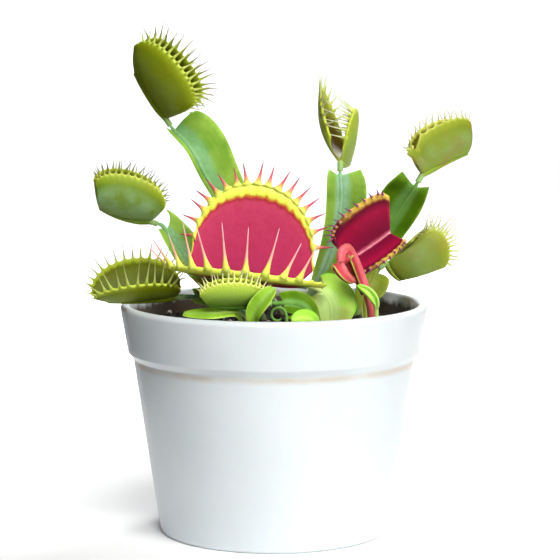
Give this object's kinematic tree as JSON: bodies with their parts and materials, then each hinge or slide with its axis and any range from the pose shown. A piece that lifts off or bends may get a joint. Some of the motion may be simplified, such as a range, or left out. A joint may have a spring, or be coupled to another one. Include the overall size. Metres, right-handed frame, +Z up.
{
  "type": "potted venus flytrap",
  "caption": "Carnivorous house plant with toothed hinged traps on winged leaf stalks, standing in peat in a small tapered white plastic pot.",
  "frame": {"origin": "centre of the pot's flat base, on the surface that it stands on", "axes": "+Z up along the pot's axis, -Y towards the viewer of the plant's front, +X to that viewer's right"},
  "size_m": [0.1141, 0.09, 0.1482],
  "materials": {
    "pot_plastic": "satin",
    "peat": "matte",
    "green_trap": "satin",
    "green_leaf": "satin",
    "lime_leaf": "satin",
    "dark_leaf": "satin",
    "olive_leaf": "satin",
    "red_trap": "satin",
    "maroon_trap": "satin",
    "young_red_leaf": "satin"
  },
  "bodies": {
    "root": {"pot": "pot_plastic", "soil": "peat", "trap_tall_left": "green_trap", "stalk_tall_left": "green_leaf", "trap_mid_left": "green_trap", "stalk_mid_left": "green_leaf", "trap_low_left": "green_trap", "stalk_low_left": "green_leaf", "trap_center": "red_trap", "stalk_center": "lime_leaf", "trap_under": "green_trap", "stalk_under": "dark_leaf", "trap_tall_right": "green_trap", "stalk_tall_right": "green_leaf", "trap_maroon": "maroon_trap", "stalk_maroon": "dark_leaf", "trap_upper_right": "green_trap", "stalk_upper_right": "dark_leaf", "trap_lower_right": "green_trap", "stalk_lower_right": "olive_leaf", "leaf_young_red": "young_red_leaf", "leaf_lime_bud": "lime_leaf", "leaf_curled": "green_leaf", "leaf_flat_left": "green_leaf", "leaf_small_front": "lime_leaf", "leaf_coil": "dark_leaf"}
  },
  "joints": []
}
